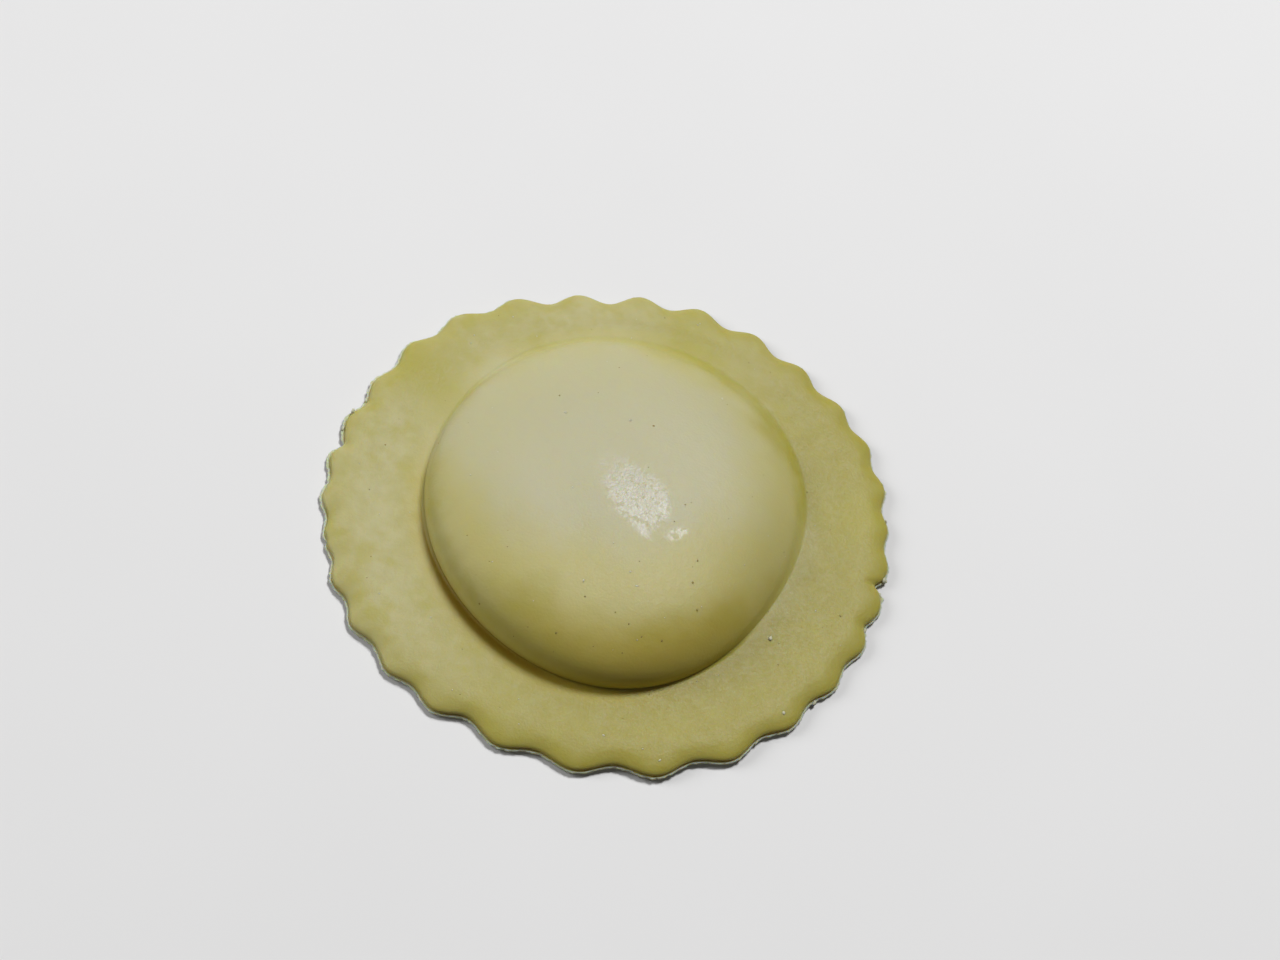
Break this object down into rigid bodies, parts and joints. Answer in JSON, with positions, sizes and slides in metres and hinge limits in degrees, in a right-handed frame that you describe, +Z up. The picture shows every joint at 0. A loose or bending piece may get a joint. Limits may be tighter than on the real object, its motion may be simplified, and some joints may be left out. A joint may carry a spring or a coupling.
{
  "type": "round ravioli",
  "caption": "Round fresh pasta parcel: a smooth filled dome in the middle of a flat flange with a scalloped cut edge.",
  "frame": {"origin": "on the flat underside, below the middle of the whole outline", "axes": "+Z up through the dome, -Y towards the side that was nearest in the picture"},
  "size_m": [0.0608, 0.0604, 0.0077],
  "materials": {
    "egg_dough": "satin"
  },
  "bodies": {
    "root": {"raviolo": "egg_dough"}
  },
  "joints": []
}
